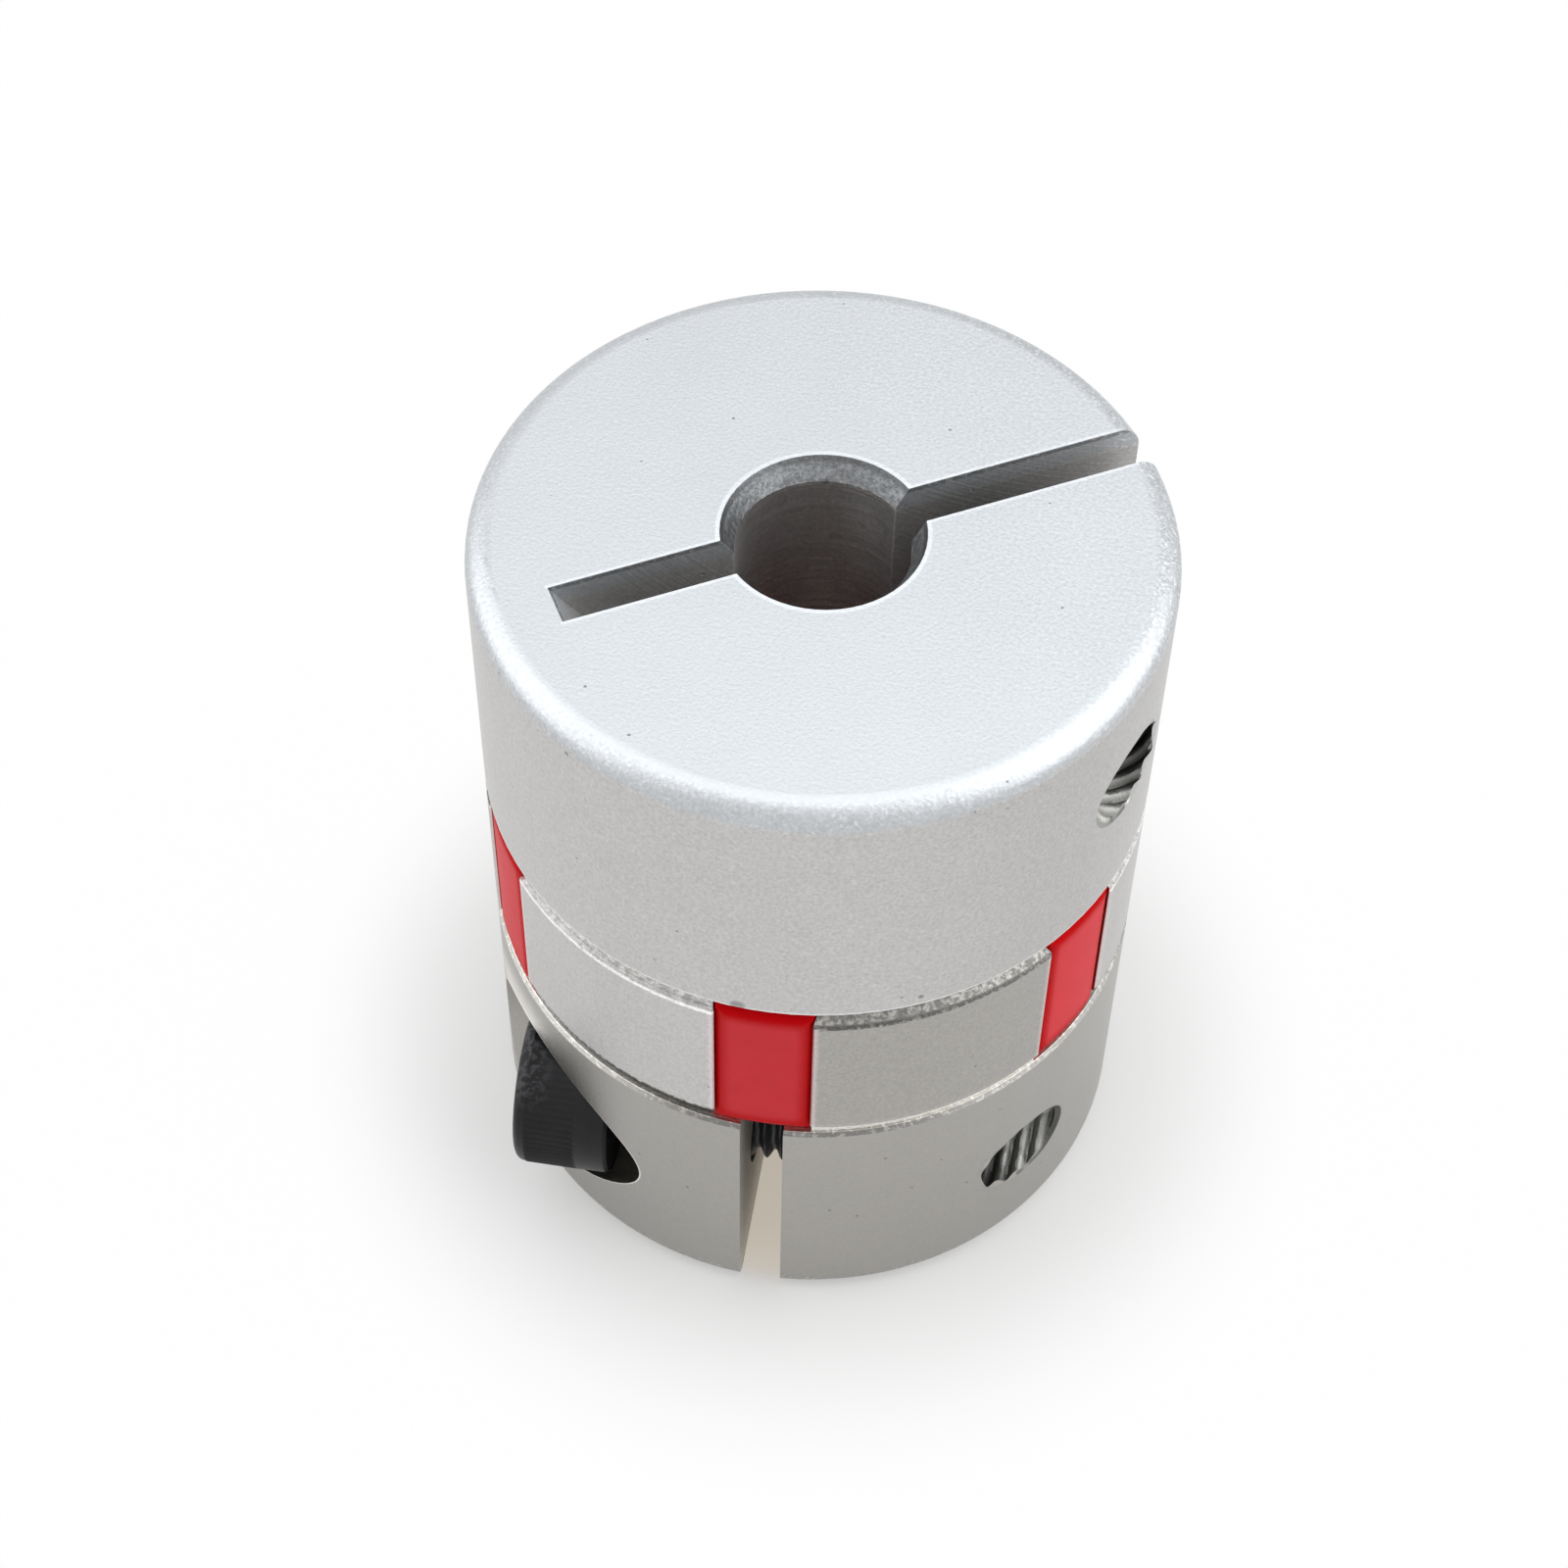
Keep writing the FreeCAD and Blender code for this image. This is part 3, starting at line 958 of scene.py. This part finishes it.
def cut_thread(name, upper):
    """Bare cut metal for one tapped hole."""
    cut, shader, place = new_finish(name, Metallic=1.0)
    x, y, z = own_axes(place, upper)
    fine = noise(place, 16.0, 2.0)
    roots = 1 - 0.45 * rise(from_screw_axis(y, z), 1.27, 1.38)
    way_in = 0.5 + 0.5 * rise(x, 6.6, 7.6)
    last_turn = 1 + (0.7 if upper else -0.5) * rise(x, 8.15, 8.45)
    light = (0.7 + 0.6 * fine) * roots * way_in * last_turn
    feed(shader, "Base Color", shade(CUT_GREY, light))
    feed(shader, "Roughness", 0.42 + 0.15 * fine)
    feed(shader, "Normal", bump(fine, 0.01))
    return finished(cut)


lower_cut = cut_thread("cut thread, lower hub", False)
upper_cut = cut_thread("cut thread, upper hub", True)

# %% [markdown]
# ## Dress the pieces
#
# The hubs and the spider keep their CAD meshes and only get a finish. The screws and the tapped
# threads are seated in the lower hub and, turned over, in the upper one. Each new piece could
# be joined to its hub, but it stays an object of its own that rides with the coupling, so that
# it can be found and refinished later.

# %% Put it all together
def seat(name, mesh, slot, finishes, replaced=None):
    """Show a mesh as a piece of the coupling, and hide the CAD node that it replaces."""
    piece = bpy.data.objects.new(name, mesh)
    bpy.context.scene.collection.objects.link(piece)
    for finish in finishes:
        mesh.materials.append(finish)
    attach(piece, "root")
    if replaced:
        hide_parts(replaced)
    print("%-20s %6d faces, slot %s" % (name, len(mesh.polygons), slot))


def upper_twin(mesh):
    """A copy of a lower mesh, turned over into the upper hub."""
    twin = mesh.copy()
    twin.transform(turned_over)
    return twin


dressed = (("lower_hub", lower_metal), ("upper_hub", upper_metal), ("spider", elastomer))
for node, finish in dressed:
    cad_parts[node].data.materials.clear()
    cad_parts[node].data.materials.append(finish)

upper_screw_mesh = upper_twin(screw_mesh)
upper_thread_mesh = upper_twin(thread_mesh)
seat("lower_cap_screw", screw_mesh, "screw_steel", [lower_oxide], "lower_clamp_screw")
seat("upper_cap_screw", upper_screw_mesh, "screw_steel", [upper_oxide], "upper_clamp_screw")
seat("lower_tapped_thread", thread_mesh, "hub_aluminium", [lower_cut, lower_metal])
seat("upper_tapped_thread", upper_thread_mesh, "hub_aluminium", [upper_cut, upper_metal])
